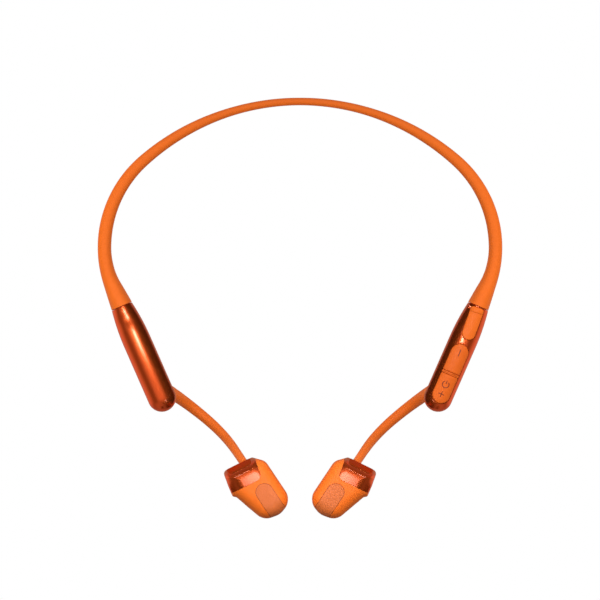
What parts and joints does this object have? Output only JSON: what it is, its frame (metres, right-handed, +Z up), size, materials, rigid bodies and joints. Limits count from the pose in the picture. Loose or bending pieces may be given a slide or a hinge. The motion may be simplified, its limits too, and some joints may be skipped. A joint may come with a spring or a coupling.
{
  "type": "bone conduction headphones",
  "caption": "Wireless open-ear headphones: sprung neckband, a pod behind each ear, ear hooks and cheekbone transducers, with sprung keys and a hinged port flap.",
  "frame": {"origin": "centre of the footprint, on the surface that the transducers and the rear of the band rest on", "axes": "+Z up as worn, the wearer faces -Y, the wearer's left is +X; the neckband is at +Y"},
  "size_m": [0.146, 0.1514, 0.045],
  "materials": {
    "silicone": "matte moulded silicone, orange",
    "gloss_shell": "high-gloss tinted lacquer, burnt orange",
    "trim": "high-gloss with a bevelled rim",
    "grille": "micro-perforated satin inlay",
    "key": "satin silicone over plastic",
    "spring_wire": "drawn titanium, dull grey",
    "cable": "matte insulation",
    "crimp": "tumbled",
    "carrier": "moulded black",
    "yoke": "bright nickel",
    "magnet": "nickel-plated",
    "copper": "enamelled copper",
    "board": "solder mask",
    "plated_steel": "plated steel",
    "switch": "black with a steel plate",
    "cell": "laminate pouch foil",
    "foam": "closed-cell foam"
  },
  "bodies": {
    "root": {"antenna": "copper", "battery_board": "board", "battery_cell": "cell", "battery_foam": "foam", "circuit_board": "board", "key_board": "board", "key_frame": "carrier", "key_switches": "switch", "left_band_anchor": "crimp", "left_hook_cable": "cable", "left_hook_core_wire": "spring_wire", "left_hook_front_anchor": "crimp", "left_hook_rear_anchor": "crimp", "left_hook_sleeve": "silicone", "left_housing_lid": "gloss_shell", "left_housing_shell": "gloss_shell", "left_suspension_spring": "spring_wire", "left_transducer_cap": "gloss_shell", "left_transducer_case": "carrier", "left_transducer_plate": "trim", "left_transducer_skin": "silicone", "left_vent_grille": "grille", "left_vibration_plate": "yoke", "left_voice_coil": "copper", "microphone": "plated_steel", "multifunction_switch": "switch", "neckband_cable": "cable", "neckband_core_wire": "spring_wire", "neckband_sleeve": "silicone", "port_frame": "carrier", "right_band_anchor": "crimp", "right_hook_cable": "cable", "right_hook_core_wire": "spring_wire", "right_hook_front_anchor": "crimp", "right_hook_rear_anchor": "crimp", "right_hook_sleeve": "silicone", "right_housing_lid": "gloss_shell", "right_housing_shell": "gloss_shell", "right_suspension_spring": "spring_wire", "right_transducer_cap": "gloss_shell", "right_transducer_case": "carrier", "right_transducer_plate": "trim", "right_transducer_skin": "silicone", "right_vent_grille": "grille", "right_vibration_plate": "yoke", "right_voice_coil": "copper", "usb_c_shell": "plated_steel", "usb_c_tongue": "carrier"},
    "volume_down": {"volume_down_key": "key"},
    "volume_up_power": {"volume_up_power_key": "key"},
    "multifunction": {"multifunction_button": "key"},
    "port_flap": {"port_cover": "key"},
    "left_motor": {"left_magnet_yoke": "yoke", "left_magnet": "magnet"},
    "right_motor": {"right_magnet_yoke": "yoke", "right_magnet": "magnet"}
  },
  "joints": [
    {"name": "volume_down_press", "type": "slide", "parent": "root", "child": "volume_down", "axis": [0, 0, 1], "range_m": [0, 0.00025], "stiffness_N_per_m": 300},
    {"name": "volume_up_power_press", "type": "slide", "parent": "root", "child": "volume_up_power", "axis": [0, 0, 1], "range_m": [0, 0.00025], "stiffness_N_per_m": 300},
    {"name": "multifunction_press", "type": "slide", "parent": "root", "child": "multifunction", "axis": [-0.6547, 0.7559, 0], "range_m": [0, 0.00025], "stiffness_N_per_m": 300},
    {"name": "port_cover_hinge", "type": "hinge", "parent": "root", "child": "port_flap", "pos_m": [-0.05997, -0.01107, 0.0025], "axis": [-0.9397, -0.342, 0], "range_deg": [0, 110]},
    {"name": "left_motor_travel", "type": "slide", "parent": "root", "child": "left_motor", "axis": [-0.8311, 0.5561, 0], "range_m": [-0.00015, 0.00015], "stiffness_N_per_m": 400},
    {"name": "right_motor_travel", "type": "slide", "parent": "root", "child": "right_motor", "axis": [0.8311, 0.5561, 0], "range_m": [-0.00015, 0.00015], "stiffness_N_per_m": 400}
  ]
}
